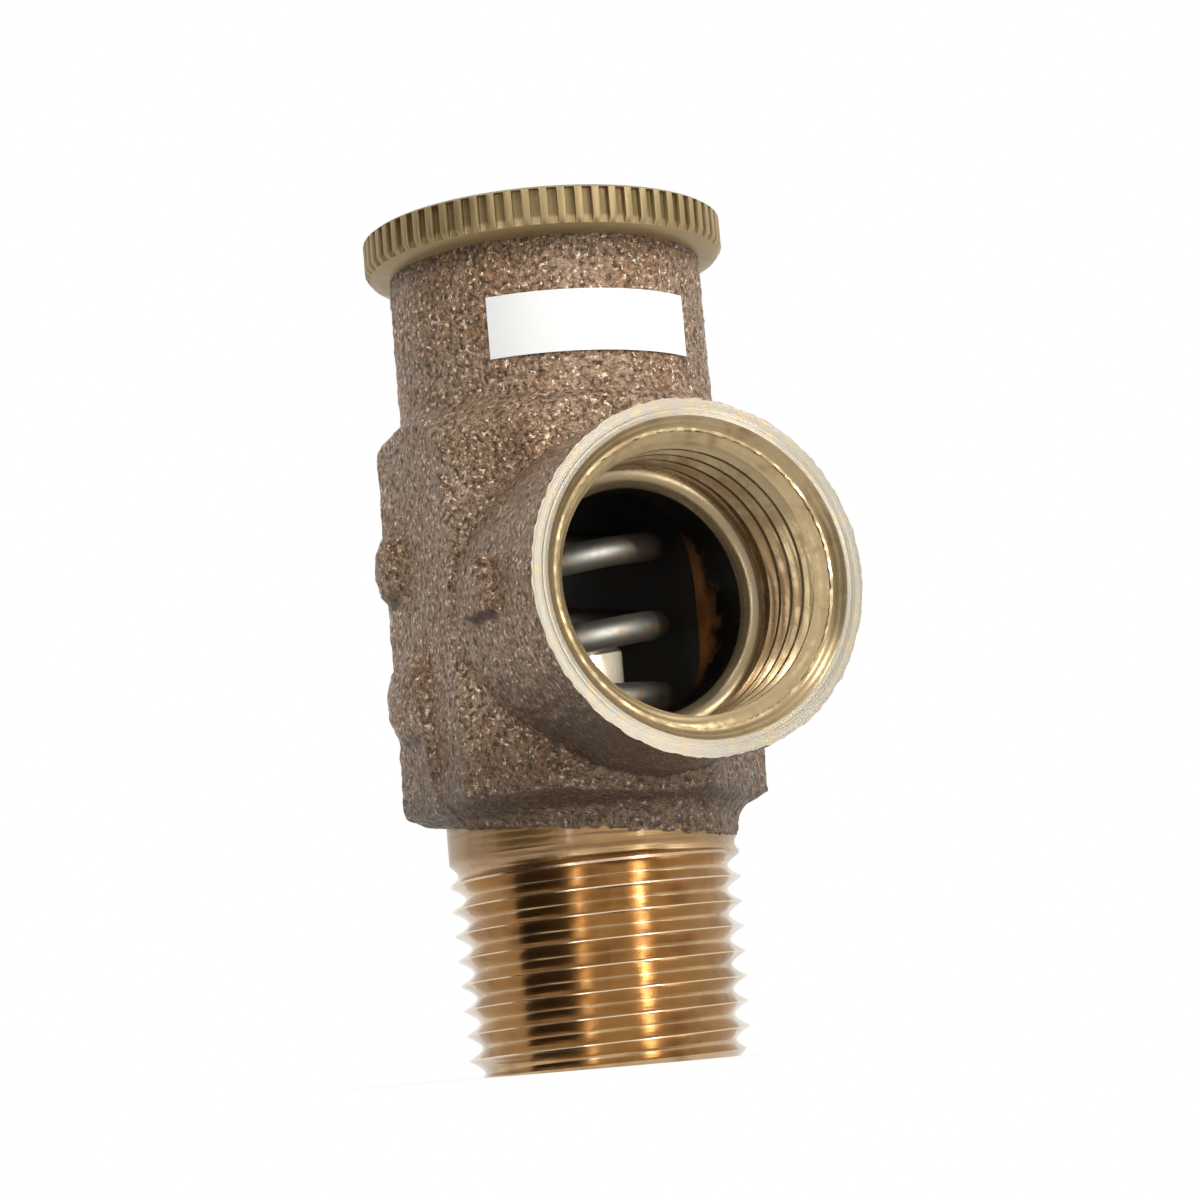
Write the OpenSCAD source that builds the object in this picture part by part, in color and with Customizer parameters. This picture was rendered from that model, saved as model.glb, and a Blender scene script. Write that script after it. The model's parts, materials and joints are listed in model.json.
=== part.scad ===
// Spring-loaded pressure relief valve with half-inch pipe threads.
// The origin is the centre of the inlet's lower end. +Z runs up the valve axis
// and the outlet faces -Y. Sizes are in millimetres.

/* [Inlet] */
// Nominal outside diameter of the inlet's pipe thread
inlet_d = 21.34; // [21.2:0.02:21.5]
// Diameter over the crests at the small end of the tapered thread
inlet_end_d = 20.6; // [20.3:0.02:20.8]
// Height of the inlet up to the flare of the wrench block
inlet_h = 17.3; // [16.5:0.1:17.6]
// Pitch of the inlet's thread, fourteen turns to the inch
thread_pitch = 1.8143; // [1.7:0.0001:1.9]
// Depth of the inlet's thread
thread_depth = 1.1; // [0.8:0.05:1.2]
// Diameter of the inlet passage
passage_d = 13; // [11.5:0.1:13.4]

/* [Wrench block] */
// Distance between the two side flats
block_flats = 25.4; // [25:0.1:27]
// Height at which the block reaches its full width
block_z = 19; // [18.6:0.1:19.4]
// Height at which the sloping shoulder meets the spring housing
shoulder_z = 48; // [47.5:0.1:48.5]
// Rounding of the block's upright edges
block_round = 1.2; // [0.6:0.1:2]

/* [Outlet] */
// Height of the outlet's axis
outlet_z = 32.5; // [32:0.1:33]
// Distance from the valve axis to the outlet's face
outlet_reach = 22.3; // [21:0.1:25]
// Diameter of the outlet's face
outlet_d = 24.8; // [24.4:0.1:25]
// Tapping drill of the outlet's pipe thread
outlet_drill_d = 18.26; // [18.1:0.02:18.6]
// Mouth of the countersink in the outlet's face
countersink_d = 22.4; // [21.6:0.1:22.8]
// Opening between the outlet and the spring chamber
port_d = 16.6; // [15:0.1:17]

/* [Spring housing] */
// Outside diameter of the round housing above the block
housing_d = 23.4; // [22.8:0.1:23.8]
// Height of the housing's upper rim
housing_top = 59.5; // [58.5:0.1:60.5]
// Bore of the chamber that guides the disc holder
chamber_d = 18.4; // [18.2:0.05:18.5]

/* [Lock ring] */
// Diameter over the ribs of the lock ring
ring_d = 27; // [26:0.1:28]
// Height of the lock ring
ring_h = 3.2; // [2.8:0.1:3.6]
// Number of grip slots around the ring
ring_slots = 66; // [48:1:72]
// Depth of a grip slot
slot_depth = 0.45; // [0.2:0.05:0.6]

/* [Adjusting screw] */
// Diameter of the adjusting screw
screw_d = 18.8; // [18.7:0.05:18.9]
// Height of the screw's slotted end at the set pressure
screw_top = 62.2; // [61.5:0.1:62.6]

/* [Spring] */
// Wire diameter of the spring
wire_d = 1.9; // [1.4:0.1:2]
// Mean diameter of the spring
spring_d = 12; // [11.4:0.1:12.6]
// Turns of the spring, its closed ends included
spring_turns = 4.8; // [4.2:0.1:5.2]
// Height of the seat under the spring
spring_foot_z = 25; // [24.8:0.1:25.4]
// Height of the seat above the spring
spring_head_z = 49; // [48.8:0.1:49.5]

/* [Disc] */
// Height of the body's seat
seat_z = 21; // [20.8:0.1:21.2]
// Diameter of the soft seat disc
disc_d = 15.4; // [15.2:0.1:15.6]
// Diameter of the hub that centres the spring
hub_d = 6.7; // [6:0.1:7.5]
// Height of the hub's top
hub_top = 31.2; // [29:0.1:33]

/* [Hidden] */
$fn = 96;

// How far a cutter runs past the face it cuts
cut = 1;
// Bevel on the edges of turned pieces
edge = 0.8;

inlet_r = inlet_d / 2;
inlet_end_r = inlet_end_d / 2;
taper_h = 16 * (inlet_d - inlet_end_d);
end_chamfer = 0.9;
crest_flat = 0.3;
root_flat = 0.35;
groove_start_z = 1.35 - 2 * thread_pitch;
groove_end_z = taper_h - 0.6;
groove_turns = (groove_end_z - groove_start_z) / thread_pitch;
groove_rings_per_turn = 24;
groove_sides = 4;
groove_proud = 0.2;
groove_runout = 1 / 3;

block_r = block_flats / 2;
flat_front = 7.6;
flat_back = block_r * tan(22.5);
flare_r = inlet_r + 0.9;
envelope_r = 15.5;
shoulder_slope = 1.24;
pad_rise = 1;
pad_round = 1;

housing_r = housing_d / 2;
shoulder_foot_z = shoulder_z - shoulder_slope * (envelope_r - housing_r);

outlet_r = outlet_d / 2;
outlet_root_r = outlet_r + 0.2;
outlet_drill_r = outlet_drill_d / 2;
countersink_r = countersink_d / 2;
port_r = port_d / 2;
port_round = 0.8;
port_shoulder = 12.4;
relief_r = outlet_drill_r + 0.4;
relief_w = 1.6;

passage_r = passage_d / 2;
passage_lead = 0.8;
lip_r = passage_r + 0.9;
chamber_r = chamber_d / 2;
chamber_floor = seat_z - 1;
thread_foot_z = spring_head_z - 1.5;
screw_fit = 0.05;

ring_r = ring_d / 2;
ring_bore_r = screw_d / 2 + 0.08;
ring_foot_r = ring_r - 1.5;
ring_bevel = 1.1;
ring_lip = 0.35;
slot_w = 0.55 * PI * ring_d / ring_slots;
slot_h = ring_h - ring_bevel - ring_lip + 0.4;

screw_r = screw_d / 2;
button_h = 2.6;
screw_foot_z = spring_head_z + button_h;
driver_slot_w = 2.2;
driver_slot_depth = 2.6;
pivot_r = 3;
pivot_h = 2;
pivot_fit = 0.05;

wire_r = wire_d / 2;
spring_r = spring_d / 2;
spring_lift = 0.02;
spring_start = 125;
rings_per_turn = 8;
wire_sides = 6;
end_pitch = 0.4;
end_flat = 0.3;
end_ramp = 0.6;

disc_r = disc_d / 2;
disc_h = 2.4;
holder_z = seat_z + 0.9;
guide_fit = 0.08;
guide_r = chamber_r - guide_fit;
guide_flat_r = disc_r + 0.75;
hub_r = hub_d / 2;
hub_root = 0.5;
stem_r = 2;
washer_r = 4.6;
washer_h = 0.8;
head_r = 3.6;
head_h = 2;
head_slot_w = 1;
head_slot_depth = 1;
stem_fit = 0.05;
stem_hole_top = hub_top - 2;
stem_top = stem_hole_top - 0.4;

function polar(c, r, a) = [c[0] + r * cos(a), c[1] + r * sin(a)];
function arc(c, r, from, to, steps) =
    [for (i = [0 : steps]) polar(c, r, from + (to - from) * i / steps)];

// Faces of a closed sweep whose corners are listed ring by ring, from ring 0 to the last
function swept_faces(last, sides) =
    let (corner = function(i, k) i * sides + k % sides)
    concat(
        [for (i = [0 : last - 1], k = [0 : sides - 1], half = [0, 1])
            half == 0 ? [corner(i, k), corner(i, k + 1), corner(i + 1, k + 1)]
                      : [corner(i, k), corner(i + 1, k + 1), corner(i + 1, k)]],
        [for (k = [1 : sides - 2], end = [0, last])
            end == 0 ? [corner(0, 0), corner(0, k + 1), corner(0, k)]
                     : [corner(last, 0), corner(last, k), corner(last, k + 1)]]);

// Half of the spring's height as a function of its turns: a flat end that
// opens out to the working pitch.
function ramp(u) = u < 0 ? 0 : u < end_ramp ? u * u / (2 * end_ramp) : u - end_ramp / 2;
half_turns = spring_turns / 2;
half_rise = (spring_head_z - spring_foot_z - wire_d) / 2 - spring_lift;
open_pitch = (half_rise - end_pitch * half_turns) / ramp(half_turns - end_flat);
function half_height(t) = end_pitch * t + open_pitch * ramp(t - end_flat);
function spring_height(t) =
    t < half_turns ? half_height(t) : 2 * half_rise - half_height(spring_turns - t);
function spring_angle(t) = spring_start + 360 * t;
function spring_point(t) =
    [spring_r * cos(spring_angle(t)), spring_r * sin(spring_angle(t)),
     spring_foot_z + spring_lift + wire_r + spring_height(t)];

// Least clear distance between one turn of the wire and the next
gap_steps = 24;
gap_points = [for (i = [0 : gap_steps * spring_turns]) spring_point(i / gap_steps)];
spring_gap = min([for (i = [0 : len(gap_points) - 1], j = [i + gap_steps / 2 : len(gap_points) - 1])
    norm(gap_points[i] - gap_points[j])]) - wire_d;
echo(spring_gap = spring_gap);

// Turns a shape made along +Z so that it points out of the outlet
module along_outlet() {
    translate([0, 0, outlet_z])
        rotate([90, 0, 0])
            children();
}

// The groove of the inlet's thread: one V swept up a right-handed helix, from below the inlet's
// end to the top of the taper, where it runs out to the surface.
function groove_height(t) = groove_start_z + thread_pitch * t;
function groove_crest_r(t) = inlet_end_r + max(groove_height(t), 0) / 32;
function groove_depth(t) = thread_depth * min(1, (groove_turns - t) / groove_runout) - 0.05;
function groove_corner(t, k) =
    let (deep = k == 1 || k == 2,
         r = groove_crest_r(t) + (deep ? -groove_depth(t) : groove_proud),
         half_w = deep ? root_flat / 2 : (thread_pitch - crest_flat + groove_proud) / 2)
    [r * cos(360 * t), r * sin(360 * t), groove_height(t) + (k < 2 ? half_w : -half_w)];

module inlet_groove() {
    last = ceil(groove_rings_per_turn * groove_turns);
    corners = [for (i = [0 : last], k = [0 : groove_sides - 1]) groove_corner(groove_turns * i / last, k)];
    polyhedron(points = corners, faces = swept_faces(last, groove_sides), convexity = 10);
}

module inlet_nipple() {
    cylinder(h = end_chamfer, r1 = inlet_end_r - end_chamfer, r2 = inlet_end_r + end_chamfer / 32);
    translate([0, 0, end_chamfer])
        cylinder(h = taper_h - end_chamfer, r1 = inlet_end_r + end_chamfer / 32, r2 = inlet_r);
    translate([0, 0, taper_h])
        cylinder(h = inlet_h - taper_h, r = inlet_r);
}

// The block's cross-section: two long side flats, and three facets front and back
module block_section() {
    offset(r = block_round, $fn = 32)
        offset(delta = -block_round)
            polygon([[-flat_front, -block_r], [flat_front, -block_r],
                     [block_r, -flat_front], [block_r, flat_back],
                     [flat_back, block_r], [-flat_back, block_r],
                     [-block_r, flat_back], [-block_r, -flat_front]]);
}

// The turned outline that flares the block out of the neck and slopes its shoulder
module block_envelope() {
    rotate_extrude()
        polygon([[0, inlet_h], [inlet_r, inlet_h], [flare_r, block_z - 0.6], [block_r, block_z - 0.1],
                 [envelope_r, block_z + 0.6], [envelope_r, shoulder_foot_z],
                 [housing_r, shoulder_z], [0, shoulder_z]]);
}

module wrench_block() {
    intersection() {
        translate([0, 0, inlet_h])
            linear_extrude(height = shoulder_z - inlet_h)
                block_section();
        block_envelope();
    }
}

module outlet_boss() {
    along_outlet()
        cylinder(h = outlet_reach, r1 = outlet_root_r, r2 = outlet_r);
}

module spring_housing() {
    translate([0, 0, shoulder_foot_z])
        cylinder(h = housing_top - shoulder_foot_z, r = housing_r);
}

// A plain raised pad with round corners that the casting carries on its left flat
module cast_pad(y, z, width, height) {
    translate([-block_r - pad_rise, y, z])
        rotate([90, 0, 90])
            linear_extrude(height = pad_rise + cut)
                offset(r = pad_round, $fn = 24)
                    translate([pad_round, pad_round])
                        square([width - 2 * pad_round, height - 2 * pad_round]);
}

// Everything turned about the valve axis: passage, seat lip, chamber and screw bore
module valve_bore() {
    rotate_extrude()
        polygon([[0, -cut], [passage_r + passage_lead + cut, -cut], [passage_r, passage_lead],
                 [passage_r, seat_z], [lip_r, seat_z], [lip_r, chamber_floor],
                 [chamber_r, chamber_floor], [chamber_r, thread_foot_z],
                 [screw_r + screw_fit, thread_foot_z], [screw_r + screw_fit, housing_top + cut],
                 [0, housing_top + cut]]);
}

// Everything turned about the outlet's axis: countersink, tapped bore, relief and port
module outlet_bore() {
    along_outlet()
        rotate_extrude()
            polygon(concat(
                [[0, 0]],
                arc([port_r + port_round, port_shoulder - port_round], port_round, 180, 90, 6),
                [[relief_r, port_shoulder], [relief_r, port_shoulder + relief_w],
                 [outlet_drill_r, port_shoulder + relief_w],
                 [outlet_drill_r, outlet_reach - (countersink_r - outlet_drill_r)],
                 [countersink_r + cut, outlet_reach + cut], [0, outlet_reach + cut]]));
}

module body() {
    color("#8c6b47")
        difference() {
            union() {
                inlet_nipple();
                wrench_block();
                outlet_boss();
                spring_housing();
                cast_pad(y = 1.2, z = 35.2, width = 3.6, height = 4.8);
                cast_pad(y = -2.2, z = 24.5, width = 7, height = 6);
            }
            inlet_groove();
            valve_bore();
            outlet_bore();
        }
}

// Knurled ring that locks the adjusting screw against the housing's rim
module lock_ring() {
    color("#a8905e")
        translate([0, 0, housing_top])
            difference() {
                rotate_extrude()
                    polygon([[ring_bore_r, 0], [ring_foot_r, 0], [ring_r, ring_bevel],
                             [ring_r, ring_h - 0.2], [ring_r - 0.3, ring_h], [ring_bore_r, ring_h]]);
                for (i = [0 : ring_slots - 1])
                    rotate(360 * i / ring_slots)
                        translate([ring_r - slot_depth, -slot_w / 2, ring_h - ring_lip - slot_h])
                            cube([slot_depth + cut, slot_w, slot_h]);
            }
}

module adjusting_screw() {
    color("#b59a5c")
        difference() {
            rotate_extrude()
                polygon([[0, screw_foot_z + pivot_h], [pivot_r + pivot_fit, screw_foot_z + pivot_h],
                         [pivot_r + pivot_fit, screw_foot_z], [screw_r - edge, screw_foot_z],
                         [screw_r, screw_foot_z + edge], [screw_r, screw_top - edge],
                         [screw_r - edge, screw_top], [0, screw_top]]);
            translate([-screw_r - cut, -driver_slot_w / 2, screw_top - driver_slot_depth])
                cube([2 * (screw_r + cut), driver_slot_w, driver_slot_depth + cut]);
        }
}

// Button between the screw and the spring: a pilot inside the coil, a pivot in the screw
module upper_spring_seat() {
    pilot_r = spring_r - wire_r - 0.5;
    pilot_h = 2.4;
    color("#b59a5c")
        rotate_extrude()
            polygon([[0, spring_head_z - pilot_h], [pilot_r - edge, spring_head_z - pilot_h],
                     [pilot_r, spring_head_z - pilot_h + edge], [pilot_r, spring_head_z],
                     [chamber_r - 0.5, spring_head_z], [chamber_r - 0.5, screw_foot_z],
                     [pivot_r, screw_foot_z], [pivot_r, screw_foot_z + pivot_h - 0.4],
                     [0, screw_foot_z + pivot_h - 0.4]]);
}

// One unbroken wire, swept as rings of corners along the helix
module spring() {
    last = ceil(rings_per_turn * spring_turns);
    corners = [for (i = [0 : last], k = [0 : wire_sides - 1])
        let (t = spring_turns * i / last, a = spring_angle(t), p = spring_point(t),
             reach = wire_r * cos(360 * k / wire_sides + 90))
        [p[0] + reach * cos(a), p[1] + reach * sin(a),
         p[2] + wire_r * sin(360 * k / wire_sides + 90)]];
    color("#5d5f5c")
        polyhedron(points = corners, faces = swept_faces(last, wire_sides), convexity = 8);
}

// Six-sided guide that slides in the chamber, with the disc's recess and the spring's hub
module disc_holder() {
    color("#c9a35a")
        difference() {
            union() {
                translate([0, 0, holder_z])
                    intersection() {
                        cylinder(h = spring_foot_z - holder_z, r = guide_r);
                        rotate(30)
                            cylinder(h = spring_foot_z - holder_z, r = guide_flat_r / cos(30), $fn = 6);
                    }
                rotate_extrude()
                    polygon([[0, spring_foot_z - hub_root], [hub_r, spring_foot_z - hub_root],
                             [hub_r, hub_top - edge], [hub_r - edge, hub_top], [0, hub_top]]);
            }
            translate([0, 0, holder_z - cut])
                cylinder(h = seat_z + disc_h - holder_z + cut, r = disc_r + stem_fit);
            cylinder(h = stem_hole_top, r = stem_r + stem_fit);
        }
}

module seat_disc() {
    color("#2b2a28")
        translate([0, 0, seat_z])
            difference() {
                cylinder(h = disc_h, r = disc_r);
                translate([0, 0, -cut])
                    cylinder(h = disc_h + 2 * cut, r = stem_r + stem_fit);
            }
}

module disc_washer() {
    color("#c9a35a")
        translate([0, 0, seat_z - washer_h])
            difference() {
                cylinder(h = washer_h, r = washer_r);
                translate([0, 0, -cut])
                    cylinder(h = washer_h + 2 * cut, r = stem_r + stem_fit);
            }
}

module disc_screw() {
    under_head = seat_z - washer_h;
    color("#c9a35a")
        difference() {
            rotate_extrude()
                polygon([[0, under_head - head_h], [head_r - edge, under_head - head_h],
                         [head_r, under_head - head_h + edge], [head_r, under_head],
                         [stem_r, under_head], [stem_r, stem_top], [0, stem_top]]);
            translate([-head_r - cut, -head_slot_w / 2, under_head - head_h - cut])
                cube([2 * (head_r + cut), head_slot_w, cut + head_slot_depth]);
        }
}

body();
lock_ring();
adjusting_screw();
upper_spring_seat();
spring();
disc_holder();
seat_disc();
disc_washer();
disc_screw();
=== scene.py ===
"""Looks of a spring-loaded pressure relief valve: a sand-cast bronze body with a threaded inlet
and outlet, a knurled lock ring, an adjusting screw, a spring and a disc, on a plain studio stage.
Every size is in metres, in the frame of the construction model: +Z up the valve axis from the
inlet's lower end, the outlet facing -Y."""

import contextlib
import functools
import json
import math
import random

import bpy
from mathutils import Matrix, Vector


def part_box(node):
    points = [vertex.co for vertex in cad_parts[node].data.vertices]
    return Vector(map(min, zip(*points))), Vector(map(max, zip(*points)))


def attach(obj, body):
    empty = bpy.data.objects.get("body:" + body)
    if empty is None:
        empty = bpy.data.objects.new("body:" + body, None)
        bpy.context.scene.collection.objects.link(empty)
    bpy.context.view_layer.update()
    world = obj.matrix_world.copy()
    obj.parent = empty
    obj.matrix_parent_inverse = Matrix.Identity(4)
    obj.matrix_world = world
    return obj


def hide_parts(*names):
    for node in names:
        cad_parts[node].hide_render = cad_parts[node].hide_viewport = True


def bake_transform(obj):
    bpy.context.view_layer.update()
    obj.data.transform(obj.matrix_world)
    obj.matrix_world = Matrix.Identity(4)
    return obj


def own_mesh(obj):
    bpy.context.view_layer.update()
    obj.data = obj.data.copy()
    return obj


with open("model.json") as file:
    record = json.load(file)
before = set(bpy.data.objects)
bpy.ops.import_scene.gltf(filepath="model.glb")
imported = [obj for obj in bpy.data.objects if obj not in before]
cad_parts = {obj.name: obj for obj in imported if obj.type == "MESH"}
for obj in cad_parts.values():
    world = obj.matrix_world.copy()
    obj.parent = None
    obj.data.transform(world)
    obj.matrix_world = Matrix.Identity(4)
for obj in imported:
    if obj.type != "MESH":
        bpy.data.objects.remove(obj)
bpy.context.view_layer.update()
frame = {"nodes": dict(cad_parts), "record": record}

bl_info = {
    "name": "Pressure relief valve",
    "version": (1, 0, 0),
    "blender": (4, 5, 0),
    "location": "View3D > Sidebar > Valve",
    "description": "Models the valve's pieces and its studio stage around the construction model",
    "category": "Add Mesh",
}

MM = 0.001
# Points closer than this are one point
WELD = 0.001 * MM
# How far a cutter reaches past what it cuts
OVERCUT = 1 * MM
# Growth of a taper pipe thread's radius with height: 1 in 16 on the diameter
TAPER = 1 / 32
# Sides of a plain round form, and of one that meets a thread
SIDES = 96
FINE_SIDES = 120

# Places that the construction model gives
MOUNTS = {mount["name"]: mount for mount in frame["record"]["mounts"]}
BODY_LOW, BODY_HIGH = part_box("body")
RING_LOW, RING_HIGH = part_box("lock_ring")
SCREW_LOW, SCREW_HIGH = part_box("adjusting_screw")
SPRING_LOW, SPRING_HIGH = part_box("spring")
OUTLET_Z = MOUNTS["outlet"]["pos_m"][2]
OUTLET_REACH = -BODY_LOW.y
INLET_RADIUS = MOUNTS["inlet"]["dims"]["r_mm"] * MM

# Raised marks on the left flat: name, y and z of the middle, width, height and rise in millimetres
RAISED_MARKS = (
    ("upper_pad", 3, 37.6, 4.6, 5.6, 1.3),
    ("lower_pad", 1.3, 27.5, 8, 6.8, 1.3),
    ("foot_rib", -1.9, 24.9, 1.5, 8.6, 0.8),
)

# The camera's place in millimetres, its turn in degrees and its direction round the valve from +X
CAMERA_PLACE = (-92.39, -213.52, 1.2)
CAMERA_TURN = (98.144, 4.902, -23.209)
CAMERA_AZIMUTH = -113.4
# Middle of the valve, which the lamps and the card face
AIM = Vector((0, 0, 32 * MM))
# Lamps: name, degrees round from the camera and above the horizon, distance, width and height
# in metres, and brightness, where 1 is that of the white backdrop
LAMPS = (
    ("Key strip", 37.5, 5, 0.35, 0.03, 0.45, 15),
    ("Front strip", -17, 5, 0.40, 0.022, 0.40, 8),
    ("Overhead lamp", -18, 50, 0.45, 0.085, 0.085, 22),
    ("Side softbox", 74, 43, 0.40, 0.17, 0.17, 6),
)


def linear(colour_hex):
    """A colour written as sRGB hex, as the linear red, green, blue and alpha that sockets take."""
    channels = [int(colour_hex[i:i + 2], 16) / 255 for i in (1, 3, 5)]
    return (*(c / 12.92 if c <= 0.04045 else ((c + 0.055) / 1.055) ** 2.4 for c in channels), 1)


def length(name, description, millimetres):
    """A size that the sidebar shows as a length."""
    return bpy.props.FloatProperty(
        name=name, description=description, default=millimetres * MM, unit="LENGTH", precision=5)


def angle(name, description, degrees):
    """A direction or span that the sidebar shows as an angle."""
    return bpy.props.FloatProperty(
        name=name, description=description, default=math.radians(degrees), subtype="ANGLE")


def share(name, description, part, least, most):
    """A part of a whole that the sidebar shows as a slider."""
    return bpy.props.FloatProperty(
        name=name, description=description, default=part, min=least, max=most, subtype="FACTOR")


def colour(name, description, colour_hex):
    """A colour that the sidebar shows as a swatch."""
    return bpy.props.FloatVectorProperty(
        name=name, description=description, default=linear(colour_hex), subtype="COLOR",
        size=4, min=0, max=1)


class ValveBodySizes(bpy.types.PropertyGroup):
    """Sizes of the cast body and its machined ends."""

    flats: length("Flats", "Distance between the two side flats of the wrench block", 25.4)
    left_cut: length("Left front corner", "Leg of the facet to the left of the outlet", 5.1)
    right_cut: length("Right front corner", "Leg of the facet to the right of the outlet", 8.4)
    back_cut: length("Back corners", "Leg of the facets at the back", 7.44)
    neck_z: length("Neck", "Height on the valve axis at which the cast skin ends", 17.2)
    neck_slant: bpy.props.FloatVectorProperty(
        name="Neck slant", description="Downward direction square to the slanted end of the cast skin",
        default=(-0.075, 0.106, -1), size=3, subtype="DIRECTION")
    neck_radius: length("Neck radius", "Radius of the cast neck above the inlet's thread", 10.8)
    block_z: length("Block foot", "Height at which the block has its full width", 19)
    shoulder_z: length("Shoulder", "Height at which the shoulder meets the spring housing", 48.2)
    shoulder_edge: length("Shoulder edge", "Radius at which the shoulder turns steeper", 13.4)
    shoulder_drop: length("Shoulder drop", "Fall of the shoulder from the housing to that edge", 1.1)
    shoulder_slope: bpy.props.FloatProperty(
        name="Shoulder slope", description="Rise over run outside that edge", default=1.35)
    housing_radius: length("Housing radius", "Radius of the round spring housing", 11.7)
    boss_radius: length("Outlet radius", "Radius of the outlet's face", 12.4)
    boss_draft: length("Outlet draft", "How much wider the outlet is at its root", 0.2)
    voxel: length("Casting mesh", "Size of the mesh faces on the cast surface", 0.295)
    grit: length("Sand grit", "Width of the grains that the moulding sand leaves", 0.7)
    grit_depth: length("Grit depth", "Height of the sand grains", 0.26)
    wave: length("Mould waviness", "Width of the slow swells on the casting", 4)
    wave_depth: length("Waviness depth", "Height of the slow swells", 0.16)
    pitch: length("Pipe thread pitch", "Fourteen threads to the inch", 1.8143)
    inlet_end_radius: length("Inlet end", "Crest radius at the inlet's lower end", 10.3)
    inlet_depth: length("Inlet thread depth", "Depth of the inlet's thread", 1.15)
    inlet_crest_z: length("Inlet thread start", "Height of the first crest on the +X side", 0.446)
    runout_z: length("Thread run-out", "Height at which the inlet's thread starts to fade", 13)
    runout_height: length("Run-out height", "Height over which the inlet's thread fades", 4.6)
    end_chamfer: length("Inlet chamfer", "Chamfer on the inlet's lower end", 0.9)
    outlet_radius: length("Outlet crests", "Radius of the flat crests inside the outlet", 9.38)
    outlet_depth: length("Outlet thread depth", "Depth of the outlet's thread", 0.95)
    outlet_crest: share("Outlet crest", "Share of the pitch that the flat crest takes", 0.2, 0.05, 0.9)
    outlet_crest_y: length(
        "Outlet thread start", "Depth of the first crest below the outlet's face, on the +X side", 1.3)
    burr: length("Burr", "Height of the torn edge between countersink and thread", 0.1)
    countersink_radius: length("Countersink", "Radius of the countersink in the outlet's face", 11.2)
    port_radius: length("Port", "Radius of the opening into the spring chamber", 8.3)
    port_reach: length("Port shoulder", "Distance from the valve axis to the port's shoulder", 12.4)
    port_round: length("Port round", "Rounding of the port's shoulder", 1.15)
    relief_width: length("Thread relief", "Width of the groove behind the outlet's thread", 1)
    passage_radius: length("Passage", "Radius of the inlet passage", 6.5)
    seat_z: length("Seat", "Height of the seat lip", 21)
    chamber_radius: length("Chamber", "Radius of the spring chamber", 9.2)
    screw_z: length("Screw bore", "Height at which the adjusting screw's bore starts", 47.5)


class ValvePieceSizes(bpy.types.PropertyGroup):
    """Sizes of the lock ring, the adjusting screw, the spring and the label."""

    ring_slots: bpy.props.IntProperty(
        name="Ring slots", description="Number of grip slots round the lock ring", default=66, min=24)
    slot_depth: length("Slot depth", "Depth of a grip slot", 0.45)
    slot_share: share("Slot share", "Share of the ring's edge that the slots take", 0.55, 0.2, 0.8)
    ring_bevel: length("Ring bevel", "Height of the bevel under the lock ring", 0.85)
    ring_lip: length("Ring lip", "Height of the plain lip above the slots", 0.2)
    driver_slot: length("Driver slot", "Width of the slot across the adjusting screw", 2.2)
    driver_depth: length("Driver slot depth", "Depth of that slot", 2.6)
    pivot_radius: length("Pivot", "Radius of the pivot hole in the adjusting screw's foot", 3.05)
    pivot_depth: length("Pivot depth", "Depth of that hole", 2)
    wire: length("Spring wire", "Diameter of the spring's wire", 2.2)
    spring_turns: bpy.props.FloatProperty(
        name="Spring turns", description="Turns of the spring with its closed ends", default=4.8)
    spring_start: angle("Spring start", "Direction of the wire's lower end from +X", 125)
    lift: length("Disc lift", "How far the disc's travel shortens the spring", 4)
    spring_split: length("Spring split", "Height at which the spring's two stretches meet", 41)
    label_from: angle("Label start", "Left edge of the label, from the outlet's direction", -45)
    label_to: angle("Label end", "Right edge of the label, from the outlet's direction", 33)
    label_foot: length("Label foot", "Height of the label's lower edge", 50.85)
    label_top: length("Label top", "Height of the label's upper edge", 55.4)
    label_thickness: length("Label thickness", "Thickness of the label", 0.08)


class ValveColours(bpy.types.PropertyGroup):
    """Colours of the finishes."""

    cast_skin: colour("Cast skin", "Bronze as it left the sand mould", "#a88d73")
    # The pit colour is also the colour of the painted shade under the casting and just below the lock ring
    cast_pit_and_shade: colour("Cast pits and painted shade", "Burnt sand and oxide between the grains", "#46382d")
    # Painted highlight: the glints on the grain tops and the pale thread crests
    painted_highlight: colour("Painted highlights", "Painted glints on grain tops and painted highlight on thread crests", "#dfcab0")
    cast_red: colour("Cast red", "Patches with a coppery oxide", "#987455")
    turned: colour("Turned bronze", "Fresh metal on the inlet's thread", "#bd9d72")
    turned_stain: colour("Turned stain", "Cutting oil dried on the inlet's thread", "#8f6c42")
    bored: colour("Bored bronze", "Fresh metal on the outlet", "#a8936d")
    bored_stain: colour("Bored stain", "Brown film in the outlet's grooves", "#775834")
    faced: colour("Faced bronze", "Fresh metal on the outlet's face", "#948d80")
    port: colour("Port bronze", "Orange oxide on the wall of the port", "#bd7c47")
    # Painted shade on the port's wall round its orange patch
    port_shade: colour("Port shade", "Painted black shade on the wall of the port", "#14110e")
    # Painted shade: the chamber wall is painted dark
    chamber: colour("Chamber wall", "Wall of the spring chamber, painted dark as shade", "#55534f")
    ring: colour("Ring brass", "Dull brass of the lock ring", "#9c875f")
    # Painted shade at the bottom of the grip slots
    ring_slot_shade: colour("Ring slots", "Painted shade at the bottom of the grip slots", "#75623d")
    inner_brass: colour("Inner brass", "Turned brass of the screws, spring seat and washer", "#d9bc85")
    # Painted highlight: the disc holder is painted pale for its lit look
    holder: colour("Disc holder", "Brass painted pale as the disc holder's highlight", "#efe2c8")
    steel: colour("Spring steel", "Drawn wire of the spring", "#7b7971")
    rubber: colour("Seat rubber", "Moulded rubber of the seat disc", "#262524")
    label: colour("Label", "Bare white vinyl", "#efefed")
    floor: colour("Floor", "Pale studio floor", "#f6f6f6")
    card: colour("Card", "Black felt on the card beside the camera", "#1c1916")


# Materials


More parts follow.
